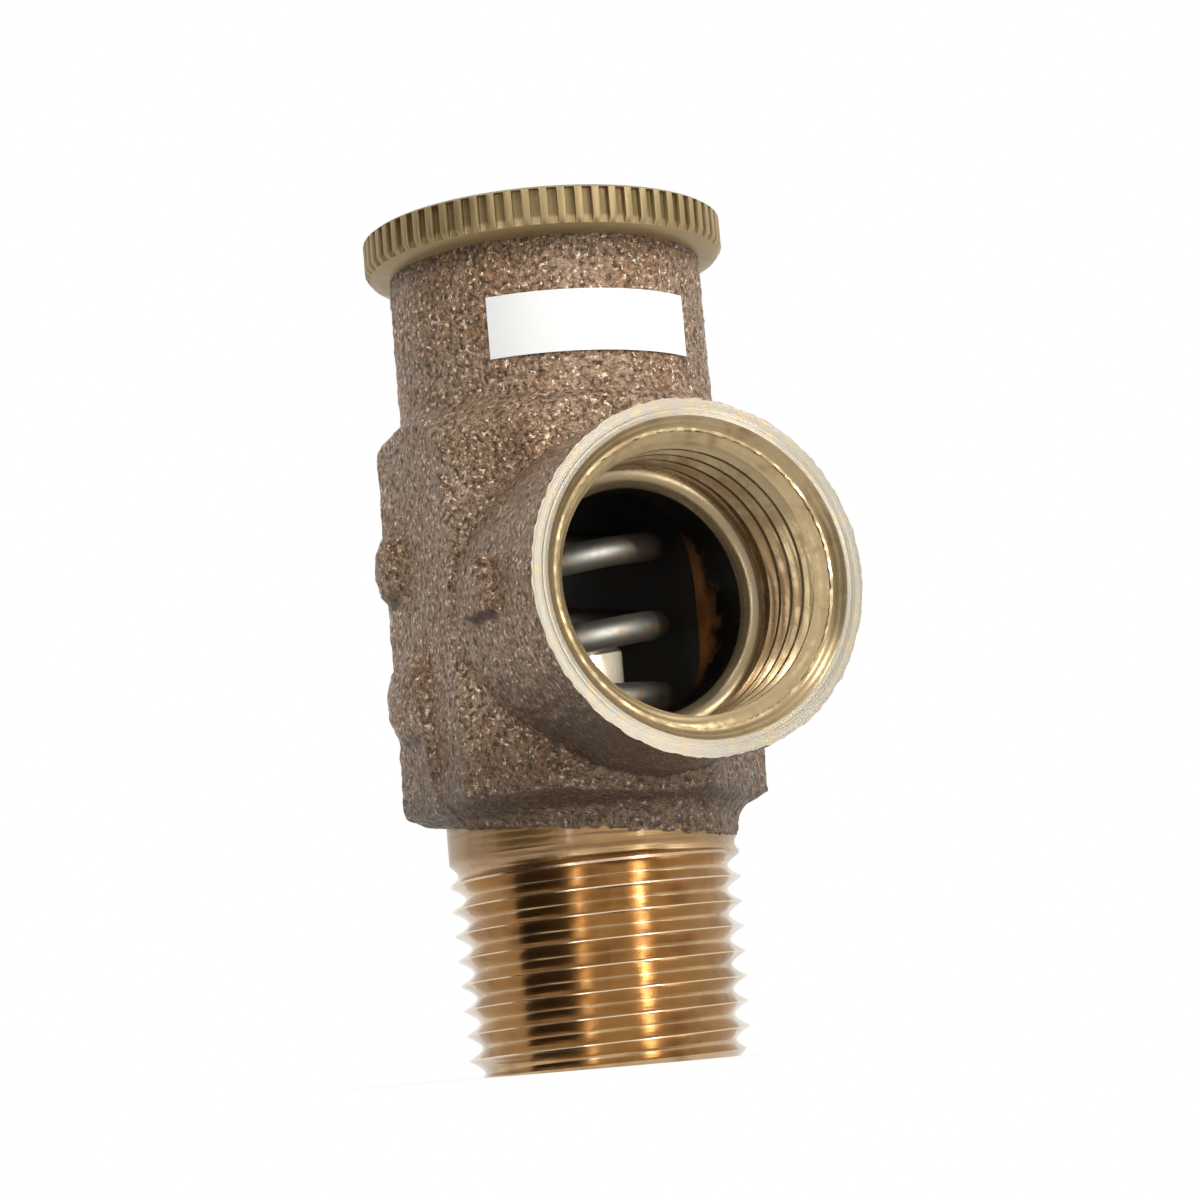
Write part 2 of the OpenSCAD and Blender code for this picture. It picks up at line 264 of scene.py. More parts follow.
def add_node(tree, kind, inputs=None, output=0, **settings):
    """Adds a shader node with its settings, sets or links each of its inputs, and returns an output."""
    node = tree.nodes.new("ShaderNode" + kind)
    for field, value in settings.items():
        setattr(node, field, value)
    for socket, value in (inputs or {}).items():
        if isinstance(value, bpy.types.NodeSocket):
            tree.links.new(value, node.inputs[socket])
        else:
            node.inputs[socket].default_value = value
    return node.outputs[output]


def new_material(name, **constants):
    """A material with these constants, the function that adds its nodes, and its Object coordinates."""
    material = bpy.data.materials.new(name)
    material.use_nodes = True
    add = functools.partial(add_node, material.node_tree)
    shader = material.node_tree.nodes["Principled BSDF"]
    for socket, value in constants.items():
        shader.inputs[socket.replace("_", " ")].default_value = value
    return material, add, add("TexCoord", output="Object")


def finished(material, **varying):
    """Links what varies over the surface to the material's shader."""
    tree = material.node_tree
    shader = tree.nodes["Principled BSDF"]
    for socket, source in varying.items():
        tree.links.new(source, shader.inputs[socket.replace("_", " ")])
    return material


def patches(add, place, width, smoothest, roughest, **noise):
    """A film in patches that wide, and the roughness that follows it."""
    film = add("TexNoise", {"Vector": place, "Scale": 1 / width, **noise}, "Fac")
    gloss = add("MapRange", {
        "Value": film, "From Min": 0.3, "From Max": 0.7, "To Min": smoothest, "To Max": roughest})
    return film, gloss


def cover(add, under, over, value, start=0, full=1, most=1, ease="LINEAR"):
    """One tint over another, by a share that rises to most while value goes from start to full."""
    part = add("MapRange", {
        "Value": value, "From Min": start, "From Max": full, "To Max": most}, interpolation_type=ease)
    return add("Mix", {0: part, 6: under, 7: over}, 2, data_type="RGBA")


def off_axis(add, place, across):
    """The part of place across an axis, and its length; across is 1 in both directions across it."""
    flat = add("VectorMath", {0: place, 1: across}, operation="MULTIPLY")
    return flat, add("VectorMath", {0: flat}, "Value", operation="LENGTH")


def line_scale(spacing):
    """The Wave texture's scale for lines that far apart; at a scale of 1 they are tau / 20 apart."""
    return math.tau / (20 * spacing)


def sand_cast_bronze(colours):
    """Bronze cast in sand: a brown oxide skin, darker between the grains, with painted glints on their
    tops.
    Painted shade darkens it underneath and just below the lock ring, and it is darker towards its foot."""
    material, add, place = new_material("Sand-cast bronze", Metallic=0.7)
    grain = add("TexNoise", {
        "Vector": place, "Scale": 1 / (0.44 * MM), "Detail": 3, "Roughness": 0.65}, "Fac")
    spark = add("TexNoise", {"Vector": place, "Scale": 1 / (0.33 * MM), "Detail": 1}, "Fac")
    patch = add("TexNoise", {"Vector": place, "Scale": 1 / (6 * MM), "Detail": 2}, "Fac")
    # Painted glints: pale spots where the fine noise peaks, where the roughness also drops
    glint = add("MapRange", {
        "Value": spark, "From Min": 0.57, "From Max": 0.74}, interpolation_type="SMOOTHSTEP")
    facing = add("NewGeometry", output="Normal")
    upward = add("SeparateXYZ", {0: facing}, "Z")
    height = add("SeparateXYZ", {0: place}, "Z")
    # Painted shade on faces that look down and in a band just below the lock ring; the middle row darkens
    # the casting towards its foot
    painted_shade_and_foot_darkening = 0
    for value, start, full, most, ease in (
            (upward, -0.35, -0.75, 0.85, "LINEAR"),
            (height, 27 * MM, 18 * MM, 0.62, "SMOOTHSTEP"),
            (height, RING_LOW.z - 1.8 * MM, RING_LOW.z, 0.6, "LINEAR")):
        part = add("MapRange", {
            "Value": value, "From Min": start, "From Max": full, "To Max": most}, interpolation_type=ease)
        painted_shade_and_foot_darkening = add("Math", {0: painted_shade_and_foot_darkening, 1: part}, operation="MAXIMUM")
    tint = cover(add, colours.cast_skin, colours.cast_red, patch, 0.42, 0.65, 0.8)
    tint = cover(add, tint, colours.cast_pit_and_shade, grain, 0.6, 0.36, 0.95)
    tint = cover(add, tint, colours.painted_highlight, glint)
    tint = cover(add, tint, colours.cast_pit_and_shade, painted_shade_and_foot_darkening)
    gloss = add("MapRange", {"Value": glint, "To Min": 0.46, "To Max": 0.2})
    relief = add("Bump", {"Height": grain, "Strength": 1, "Distance": 0.4 * MM})
    return finished(material, Base_Color=tint, Roughness=gloss, Normal=relief)


def turned_bronze(colours, sizes):
    """Bronze cut on a lathe: golden under a film of oil, brown in patches, with a painted highlight on the
    thread's crests.
    The blank above the thread is duller, with coarse ridges."""
    material, add, place = new_material(
        "Lathe-turned bronze", Metallic=1, Coat_Weight=0.5, Coat_Roughness=0.12)
    stain, polish = patches(add, place, 2.5 * MM, 0.13, 0.27, Detail=4, Roughness=0.6)
    # Tool lines are drawn 0.3 mm apart, and 0.55 mm on the blank, coarser than the real feed, to show
    lines = add("TexWave", {
        "Vector": place, "Scale": line_scale(0.3 * MM), "Distortion": 1.5, "Detail": 2,
        "Detail Scale": 0.4}, "Fac", bands_direction="Z")
    ridges = add("TexWave", {
        "Vector": place, "Scale": line_scale(0.55 * MM), "Distortion": 2.5, "Detail": 3,
        "Detail Scale": 0.6}, "Fac", bands_direction="Z")
    _, radius = off_axis(add, place, (1, 1, 0))
    height = add("SeparateXYZ", {0: place}, "Z")
    untapered = add("Math", {0: height, 1: -TAPER, 2: radius}, operation="MULTIPLY_ADD")
    # Painted highlight: the thread's crests are painted pale, except on the blank
    crest = add("MapRange", {
        "Value": untapered, "From Min": sizes.inlet_end_radius - 0.16 * MM,
        "From Max": sizes.inlet_end_radius - 0.02 * MM})
    blank = add("MapRange", {
        "Value": height, "From Min": sizes.runout_z + 1 * MM, "From Max": sizes.runout_z + 3 * MM,
        "To Max": 0.8})
    painted_crest_highlight = add("Math", {0: crest, 1: blank}, operation="SUBTRACT", use_clamp=True)
    tint = cover(add, colours.turned, colours.turned_stain, stain, 0.42, 0.75, 0.75, "SMOOTHSTEP")
    tint = cover(add, tint, colours.turned_stain, blank)
    tint = cover(add, tint, colours.painted_highlight, painted_crest_highlight)
    gloss = add("Math", {0: blank, 1: 0.35, 2: polish}, operation="MULTIPLY_ADD")
    coarse = add("Math", {0: blank, 1: ridges}, operation="MULTIPLY")
    marks = add("Math", {0: coarse, 1: 8, 2: lines}, operation="MULTIPLY_ADD")
    relief = add("Bump", {"Height": marks, "Strength": 0.5, "Distance": 0.015 * MM})
    return finished(material, Base_Color=tint, Roughness=gloss, Normal=relief)


def faced_bronze(colours):
    """Bronze faced on a lathe: rings of tool marks that throw bright arcs towards each lamp."""
    material, add, place = new_material("Faced bronze", Metallic=1, Roughness=0.34)
    centred = add("Mapping", {"Vector": place, "Location": (0, 0, -OUTLET_Z)})
    flat, radius = off_axis(add, centred, (1, 0, 1))
    spoke = add("VectorMath", {0: flat}, operation="NORMALIZE")
    mark = add("TexNoise", {
        "W": radius, "Scale": 1 / (0.04 * MM), "Detail": 1}, "Fac", noise_dimensions="1D")
    tilt = add("MapRange", {
        "Value": mark, "From Min": 0.25, "From Max": 0.75, "To Min": -0.45, "To Max": 0.45})
    lean = add("VectorMath", {0: spoke, "Scale": tilt}, operation="SCALE")
    upright = add("NewGeometry", output="Normal")
    leaning = add("VectorMath", {0: upright, 1: lean}, operation="ADD")
    normal = add("VectorMath", {0: leaning}, operation="NORMALIZE")
    scuff = add("TexNoise", {
        "Vector": place, "Scale": 1 / (0.9 * MM), "Detail": 5, "Roughness": 0.75}, "Fac")
    tint = cover(add, colours.faced, colours.bored, scuff, 0.46, 0.7, 0.8, "SMOOTHSTEP")
    return finished(material, Base_Color=tint, Normal=normal)


def bored_bronze(name, fresh, film, film_most):
    """Bronze cut about the outlet's axis: golden, with a brown film in patches, and browner further into
    the outlet.
    """
    material, add, place = new_material(name, Metallic=0.6)
    stain, gloss = patches(add, place, 2 * MM, 0.2, 0.36, Detail=4, Roughness=0.65)
    centred = add("Mapping", {"Vector": place, "Location": (0, 0, -OUTLET_Z)})
    # Tool lines are drawn 0.35 mm apart, coarser than the real feed, so that they show
    lines = add("TexWave", {
        "Vector": centred, "Scale": line_scale(0.35 * MM), "Distortion": 2, "Detail": 2,
        "Detail Scale": 0.3}, "Fac", bands_direction="Y")
    depth = add("SeparateXYZ", {0: place}, "Y")
    inward = add("MapRange", {
        "Value": depth, "From Min": 2.5 * MM - OUTLET_REACH, "From Max": 8.5 * MM - OUTLET_REACH,
        "To Max": 0.3})
    filmed = add("Math", {0: stain, 1: inward}, operation="ADD")
    tint = cover(add, fresh, film, filmed, 0.45, 0.8, film_most, "SMOOTHSTEP")
    relief = add("Bump", {"Height": lines, "Strength": 0.6, "Distance": 0.015 * MM})
    return finished(material, Base_Color=tint, Roughness=gloss, Normal=relief)


def port_bronze(colours, sizes):
    """Bronze at the port: orange oxide beside the chamber and level with the outlet's axis, with painted
    black shade round it.
    """
    material, add, place = new_material("Oxidised port bronze", Metallic=0.4)
    film, gloss = patches(add, place, 1.2 * MM, 0.3, 0.45, Detail=4)
    depth = add("SeparateXYZ", {0: place}, "Y")
    level = add("SeparateXYZ", {0: place}, "Z")
    edge = add("MapRange", {
        "Value": film, "From Min": 0.3, "From Max": 0.7, "To Min": -1 * MM, "To Max": 1 * MM})
    uneven = add("Math", {0: depth, 1: edge}, operation="ADD")
    port_shade = add("MapRange", {
        "Value": uneven, "From Min": 6.8 * MM - sizes.port_reach, "From Max": 4.6 * MM - sizes.port_reach})
    off_level = add("Math", {0: level, 1: OUTLET_Z}, operation="SUBTRACT")
    off_level = add("Math", {0: off_level}, operation="ABSOLUTE")
    away = add("MapRange", {"Value": off_level, "From Min": 2.5 * MM, "From Max": 6 * MM})
    # Painted shade: black towards the outlet and away from the level of the outlet's axis
    black = add("Math", {0: port_shade, 1: away}, operation="MAXIMUM")
    tint = cover(add, colours.port, colours.port_shade, black)
    return finished(material, Base_Color=tint, Roughness=gloss)


def chamber_bronze(colours):
    """Bronze bored inside the chamber, painted dark grey as shade, with brown patches."""
    material, add, place = new_material("Chamber bronze painted dark as shade", Metallic=0.2)
    film, gloss = patches(add, place, 3 * MM, 0.45, 0.65, Detail=4)
    # The chamber colour is painted shade: the wall is dark because little light reaches it
    tint = cover(add, colours.chamber, colours.bored_stain, film, 0.5, 0.8, 0.3)
    return finished(material, Base_Color=tint, Roughness=gloss)


def ring_brass(colours, slot_foot_radius, rib_radius):
    """Dull brass, pressed with grip slots painted darker as shade towards their bottoms; the ribs and the
    bevel keep the plain brass.
    """
    material, add, place = new_material("Knurled ring brass", Metallic=0.55)
    blotch, gloss = patches(add, place, 1.2 * MM, 0.36, 0.55, Detail=4, Roughness=0.65)
    _, radius = off_axis(add, place, (1, 1, 0))
    height = add("SeparateXYZ", {0: place}, "Z")
    # Painted shade: darker towards the bottom of each slot, while the ribs and the bevel show the plain
    # brass in blotches
    outward = add("MapRange", {
        "Value": radius, "From Min": slot_foot_radius + 0.02 * MM, "From Max": rib_radius - 0.05 * MM})
    below = add("MapRange", {
        "Value": height, "From Min": RING_LOW.z + 0.9 * MM, "From Max": RING_LOW.z + 1.15 * MM,
        "To Min": 1, "To Max": 0})
    unshaded = add("Math", {0: outward, 1: below}, operation="MAXIMUM")
    unshaded_with_blotches = add("Math", {0: unshaded, 1: blotch}, operation="ADD")
    uneven = add("Math", {0: unshaded_with_blotches, 1: -0.5}, operation="ADD", use_clamp=True)
    tint = cover(add, colours.ring_slot_shade, colours.ring, uneven)
    relief = add("Bump", {"Height": blotch, "Strength": 0.4, "Distance": 0.05 * MM})
    return finished(material, Base_Color=tint, Roughness=gloss, Normal=relief)


def inner_brass(name, fresh, film_tint, metallic):
    """Turned brass of the inner pieces: bright with rings of tool marks about the valve axis."""
    material, add, place = new_material(name, Metallic=metallic)
    film, gloss = patches(add, place, 2 * MM, 0.2, 0.36, Detail=3)
    # Tool rings are drawn 0.3 mm apart, coarser than the real feed, so that they show
    rings = add("TexWave", {
        "Vector": place, "Scale": line_scale(0.3 * MM), "Distortion": 1, "Detail": 1},
        "Fac", wave_type="RINGS", rings_direction="Z")
    tint = cover(add, fresh, film_tint, film, 0.45, 0.75, 0.4)
    relief = add("Bump", {"Height": rings, "Strength": 0.6, "Distance": 0.02 * MM})
    return finished(material, Base_Color=tint, Roughness=gloss, Normal=relief)


def spring_steel(colours):
    """Drawn, oil-tempered wire: grey with a soft shine and specks of rust."""
    material, add, place = new_material("Drawn spring steel", Metallic=1)
    film, gloss = patches(add, place, 0.8 * MM, 0.48, 0.64, Detail=4, Roughness=0.6)
    tint = cover(add, colours.steel, colours.turned_stain, film, 0.53, 0.66, 0.8)
    return finished(material, Base_Color=tint, Roughness=gloss)


def seat_rubber(colours):
    """Moulded nitrile rubber: near black and matt, with a faint bloom."""
    material, add, place = new_material("Moulded rubber", Roughness=0.6)
    bloom = add("TexNoise", {"Vector": place, "Scale": 1 / (0.6 * MM), "Detail": 3}, "Fac")
    tint = cover(add, colours.rubber, colours.chamber, bloom)
    relief = add("Bump", {"Height": bloom, "Strength": 0.3, "Distance": 0.03 * MM})
    return finished(material, Base_Color=tint, Normal=relief)


def label_vinyl(colours):
    """White vinyl pressed onto the casting: satin, with the grain showing through faintly."""
    material, add, place = new_material("White label vinyl", Roughness=0.45)
    grain = add("TexNoise", {"Vector": place, "Scale": 1 / (0.9 * MM), "Detail": 2}, "Fac")
    shaded = [0.97 * channel for channel in colours.label]
    tint = cover(add, colours.label, shaded, grain)
    relief = add("Bump", {"Height": grain, "Strength": 0.25, "Distance": 0.04 * MM})
    return finished(material, Base_Color=tint, Normal=relief)


# Modelling


def clear_selection():
    """Object mode with nothing selected."""
    if bpy.context.mode != "OBJECT":
        bpy.ops.object.mode_set(mode="OBJECT")
    bpy.ops.object.select_all(action="DESELECT")


def only(piece):
    """Makes piece the one selected and active object."""
    clear_selection()
    piece.select_set(True)
    bpy.context.view_layer.objects.active = piece


@contextlib.contextmanager
def editing(piece):
    """Edit mode on one piece with its whole mesh selected, then object mode again."""
    only(piece)
    bpy.ops.object.mode_set(mode="EDIT")
    bpy.ops.mesh.select_all(action="SELECT")
    yield
    bpy.ops.object.mode_set(mode="OBJECT")


def face_outwards():
    """In edit mode, turns every face outwards."""
    bpy.ops.mesh.select_all(action="SELECT")
    bpy.ops.mesh.normals_make_consistent(inside=False)


def trim(place, outward, near=WELD):
    """In edit mode, cuts off what lies beyond a plane and closes the cut; points that near are on it."""
    bpy.ops.mesh.select_all(action="SELECT")
    bpy.ops.mesh.bisect(plane_co=place, plane_no=outward, use_fill=True, clear_outer=True, threshold=near)


def name_piece(name, material=None):
    """Names the object that was just added, gives it its material and returns it."""
    piece = bpy.context.active_object
    piece.name = name
    piece.data.name = name
    if material:
        piece.data.materials.append(material)
    return piece


def settle(piece):
    """Puts a piece's place, turn and size into its mesh."""
    only(piece)
    bpy.ops.object.transform_apply(location=True, rotation=True, scale=True)


def apply_modifier(piece, kind, **settings):
    """Adds a modifier with its settings and applies it."""
    only(piece)
    modifier = piece.modifiers.new(kind.title(), kind)
    for field, value in settings.items():
        setattr(modifier, field, value)
    bpy.ops.object.modifier_apply(modifier=modifier.name)


def combine(piece, tool, operation="DIFFERENCE"):
    """Cuts, joins or trims a piece with a closed shape, which is then deleted."""
    apply_modifier(piece, "BOOLEAN", object=tool, operation=operation, solver="MANIFOLD",
                   material_mode="TRANSFER")
    bpy.data.objects.remove(tool)
    if not piece.data.polygons:
        raise RuntimeError(f"{piece.name} has nothing left after {operation}")


def turned(name, outline, sides=SIDES, material=None):
    """A closed solid turned about Z, its outline given as (radius, height) from one end to the other."""
    clear_selection()
    radius, height = outline[0]
    bpy.ops.mesh.primitive_circle_add(
        vertices=sides, radius=radius, fill_type="NGON", location=(0, 0, height))
    piece = name_piece(name, material)
    settle(piece)
    with editing(piece):
        for next_radius, next_height in outline[1:]:
            bpy.ops.mesh.extrude_region_move(
                TRANSFORM_OT_translate={"value": (0, 0, next_height - height)})
            growth = next_radius / radius
            bpy.ops.transform.resize(value=(growth, growth, 1), center_override=(0, 0, next_height))
            radius, height = next_radius, next_height
        face_outwards()
    return piece


def block(name, low, high, material=None):
    """A box between two corners."""
    clear_selection()
    low, high = Vector(low), Vector(high)
    bpy.ops.mesh.primitive_cube_add(size=1, location=(low + high) / 2)
    piece = name_piece(name, material)
    piece.scale = high - low
    settle(piece)
    return piece


def threaded(name, pitch, form, foot, top, material):
    """A closed screw about Z between two heights. form gives (radius, height) over one pitch."""
    clear_selection()
    bpy.ops.mesh.primitive_circle_add(vertices=3, radius=pitch)
    piece = name_piece(name, material)
    with editing(piece):
        bpy.ops.mesh.select_mode(type="VERT")
        bpy.ops.mesh.select_all(action="SELECT")
        bpy.ops.mesh.merge(type="CENTER")
        radius, height = form[0]
        bpy.ops.transform.translate(value=(radius, 0, height))
        for next_radius, next_height in form[1:]:
            bpy.ops.mesh.extrude_vertices_move(
                TRANSFORM_OT_translate={"value": (next_radius - radius, 0, next_height - height)})
            radius, height = next_radius, next_height
    turns = math.ceil((top - form[0][1]) / pitch) + 1
    apply_modifier(piece, "SCREW", axis="Z", angle=math.tau, screw_offset=pitch, iterations=turns,
                   steps=FINE_SIDES, render_steps=FINE_SIDES, use_merge_vertices=False)
    with editing(piece):
        bpy.ops.mesh.remove_doubles(threshold=WELD)
        trim((0, 0, foot), (0, 0, -1))
        trim((0, 0, top), (0, 0, 1))
        face_outwards()
    return piece


def reshape(piece, place):
    """Moves each vertex of a piece to place(vertex)."""
    for vertex in piece.data.vertices:
        vertex.co = place(vertex.co)
    piece.data.update()


def off_centre(co):
    """Distance of a point from Z."""
    return Vector((co.x, co.y)).length


def at_radius(co, radius, grown):
    """A point at that radius, moved out from Z to another one."""
    return Vector((co.x * grown / radius, co.y * grown / radius, co.z)) if radius else co


def smoothstep(value, low, high):
    """0 below low, 1 above high, and a smooth rise between them."""
    part = min(max((value - low) / (high - low), 0), 1)
    return part * part * (3 - 2 * part)


def along_outlet(piece):
    """Turns a shape made up +Z so that it points out of the outlet."""
    piece.rotation_euler = (math.radians(90), 0, 0)
    piece.location = (0, 0, OUTLET_Z)
    settle(piece)
    return piece


def arc(centre, radius, start, end, steps):
    """Points on a quarter or other arc, as (radius, height)."""
    turns = [math.radians(start + (end - start) * i / steps) for i in range(steps + 1)]
    return [(centre[0] + radius * math.cos(t), centre[1] + radius * math.sin(t)) for t in turns]


def shade(piece, edge_angle, soft_material=None):
    """Shades smooth, with sharp edges past an angle, but only round the faces of a soft material."""
    only(piece)
    bpy.ops.object.shade_smooth()
    with editing(piece):
        bpy.ops.mesh.select_all(action="DESELECT")
        bpy.ops.mesh.select_mode(type="FACE")
        if soft_material is not None:
            piece.active_material_index = piece.data.materials.find(soft_material.name)
            bpy.ops.object.material_slot_select()
            bpy.ops.mesh.region_to_loop()
            bpy.ops.mesh.mark_sharp()
            bpy.ops.mesh.select_all(action="DESELECT")
            bpy.ops.mesh.select_mode(type="FACE")
            bpy.ops.object.material_slot_select()
            bpy.ops.mesh.hide(unselected=False)
        bpy.ops.mesh.select_mode(type="EDGE")
        bpy.ops.mesh.edges_select_sharp(sharpness=edge_angle)
        bpy.ops.mesh.mark_sharp()
        bpy.ops.mesh.reveal()


def seat(piece, body, slot, *nodes):
    """Lets a finished piece ride on a body and stand for construction nodes, which it hides; the slot
    argument is not used.
    """
    only(piece)
    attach(piece, body)
    if nodes:
        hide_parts(*nodes)


def wrench_block(sizes):
    """The faceted block, trimmed by the turned outline that flares its foot and slopes its shoulder."""
    half = sizes.flats / 2
    low = sizes.neck_z - 3 * MM
    piece = block("valve_body", (-half, -half, low), (half, half, sizes.shoulder_z))
    corners = [(-1, -1, sizes.left_cut), (1, -1, sizes.right_cut),
               (-1, 1, sizes.back_cut), (1, 1, sizes.back_cut)]
    bpy.ops.object.mode_set(mode="EDIT")
    bpy.ops.mesh.select_mode(type="EDGE")
    for side, back, leg in corners:
        bpy.ops.mesh.select_all(action="DESELECT")
        bpy.ops.object.mode_set(mode="OBJECT")
        for edge in piece.data.edges:
            ends = [piece.data.vertices[i].co for i in edge.vertices]
            upright = abs(ends[0].z - ends[1].z) > half
            at_corner = min(ends[0].x * side, ends[0].y * back) > half - WELD
            edge.select = upright and at_corner
        bpy.ops.object.mode_set(mode="EDIT")
        bpy.ops.mesh.bevel(offset=leg, segments=1, affect="EDGES")
    bpy.ops.object.mode_set(mode="OBJECT")
    # The flare steps out from the neck in four heights about the block's foot
    flare_low, flare_turn, flare_edge, flare_top = (
        sizes.block_z + rise * MM for rise in (-1.6, -0.6, -0.1, 0.6))
    flare_radius = sizes.neck_radius + 0.7 * MM
    reach = half + 2.8 * MM
    edge_z = sizes.shoulder_z - sizes.shoulder_drop
    envelope = turned("envelope", [
        (sizes.neck_radius, low), (sizes.neck_radius, flare_low), (flare_radius, flare_turn),
        (half, flare_edge), (reach, flare_top),
        (reach, edge_z - sizes.shoulder_slope * (reach - sizes.shoulder_edge)),
        (sizes.shoulder_edge, edge_z), (sizes.housing_radius, sizes.shoulder_z)])
    combine(piece, envelope, "INTERSECT")
    with editing(piece):
        trim((0, 0, sizes.neck_z), sizes.neck_slant)
    return piece


def raised_mark(name, y, z, width, height, rise, half):
    """A plain raised mark with soft edges on the casting's left flat."""
    clear_selection()
    bpy.ops.mesh.primitive_cube_add(size=2, location=(-half, y, z))
    piece = name_piece(name)
    apply_modifier(piece, "SUBSURF", levels=3, render_levels=3)
    low, high = Vector(piece.bound_box[0]), Vector(piece.bound_box[6])
    piece.scale = (2 * rise / (high.x - low.x), width / (high.y - low.y), height / (high.z - low.z))
    settle(piece)
    return piece


def flow_arrow(sizes):
    """A raised arrow head on the outlet's left side that points out of the outlet."""
    size, thickness = 3 * MM, 2 * MM
    proud, reach, rise = 0.1 * MM, 13.8 * MM, 0.4 * MM
    clear_selection()
    bpy.ops.mesh.primitive_cylinder_add(
        vertices=3, radius=size, depth=thickness, rotation=(0, math.radians(90), 0))
    piece = name_piece("flow_arrow")
    settle(piece)
    reshape(piece, lambda co: Vector((co.x, -co.z, co.y)))
    piece.location = (-sizes.boss_radius - proud, -reach, OUTLET_Z + rise)
    settle(piece)
    with editing(piece):
        face_outwards()
    return piece


def cloud(name, grain):
    """A cloud pattern for the Displace modifier, with its grains at a real size."""
    pattern = bpy.data.textures.new(name, "CLOUDS")
    pattern.noise_scale = grain
    pattern.noise_depth = 1
    return pattern


def cast_form(sizes, skin):
    """The casting as it leaves the mould: block, housing, outlet boss and raised marks in one skin."""
    piece = wrench_block(sizes)
    housing_foot = sizes.shoulder_z - 6 * MM
    combine(piece, turned("housing", [
        (sizes.housing_radius, housing_foot),
        (sizes.housing_radius, BODY_HIGH.z + OVERCUT)]), "UNION")
    combine(piece, along_outlet(turned("boss", [
        (sizes.boss_radius + sizes.boss_draft, 0),
        (sizes.boss_radius, OUTLET_REACH + OVERCUT)])), "UNION")
    for name, *measures in RAISED_MARKS:
        mark = raised_mark(name, *(value * MM for value in measures), sizes.flats / 2)
        combine(piece, mark, "UNION")
    combine(piece, flow_arrow(sizes), "UNION")
    apply_modifier(piece, "REMESH", mode="VOXEL", voxel_size=sizes.voxel)
    piece.data.materials.clear()
    piece.data.materials.append(skin)
    apply_modifier(piece, "SMOOTH", factor=0.5, iterations=8)
    for name, width, depth in (("Mould waviness", sizes.wave, sizes.wave_depth),
                               ("Sand grit", sizes.grit, sizes.grit_depth)):
        apply_modifier(piece, "DISPLACE", texture=cloud(name, width), texture_coords="LOCAL",
                       strength=depth, mid_level=0.5)
    return piece


def inlet_nipple(sizes, finish):
    """The inlet's tapered pipe thread, cut into a turned blank with a chamfered end."""
    pitch, depth = sizes.pitch, sizes.inlet_depth
    top = sizes.neck_z + 2 * MM
    points = 16
    turns_below = 3
    # The thread's crests stand proud of the blank, which then trims them
    crest = sizes.inlet_end_radius + 0.06 * MM
    foot = sizes.inlet_crest_z - turns_below * pitch
    # Sharp crests over round roots: 1 at the crest, 0 in the middle of the root
    root_roundness = 1.65
    form = [(crest - depth + depth * abs(1 - 2 * i / points) ** root_roundness, foot + pitch * i / points)
            for i in range(points + 1)]
    piece = threaded("inlet_nipple", pitch, form, 0, top, finish)

    def taper(co):
        radius = off_centre(co)
        fade = smoothstep(co.z, sizes.runout_z, sizes.runout_z + sizes.runout_height)
        return at_radius(co, radius, radius + fade * (crest - radius) + co.z * TAPER)

    reshape(piece, taper)
    taper_height = (INLET_RADIUS - sizes.inlet_end_radius) / TAPER
    blank = turned("inlet_blank", [
        (sizes.inlet_end_radius - sizes.end_chamfer, 0),
        (sizes.inlet_end_radius + sizes.end_chamfer * TAPER, sizes.end_chamfer),
        (INLET_RADIUS, taper_height), (INLET_RADIUS, top)], FINE_SIDES, finish)
    combine(piece, blank, "INTERSECT")
    return piece


def shoulder_tool(sizes, finish):
    """The cutter that rounds the shoulder between the outlet's bore and the port."""
    rounding = arc((sizes.port_radius + sizes.port_round, sizes.port_reach - sizes.port_round),
                   sizes.port_round, 180, 90, 8)
    overlap = 0.2 * MM
    return along_outlet(turned("shoulder_tool", [
        *rounding, (rounding[-1][0], sizes.port_reach + overlap)], FINE_SIDES, finish))


def port_tool(sizes, finish):
    """The drill that opens the spring chamber to the outlet."""
    overlap = 0.02 * MM
    return along_outlet(turned("port_tool", [
        (sizes.port_radius, 0),
        (sizes.port_radius, sizes.port_reach - sizes.port_round + overlap)], FINE_SIDES, finish))


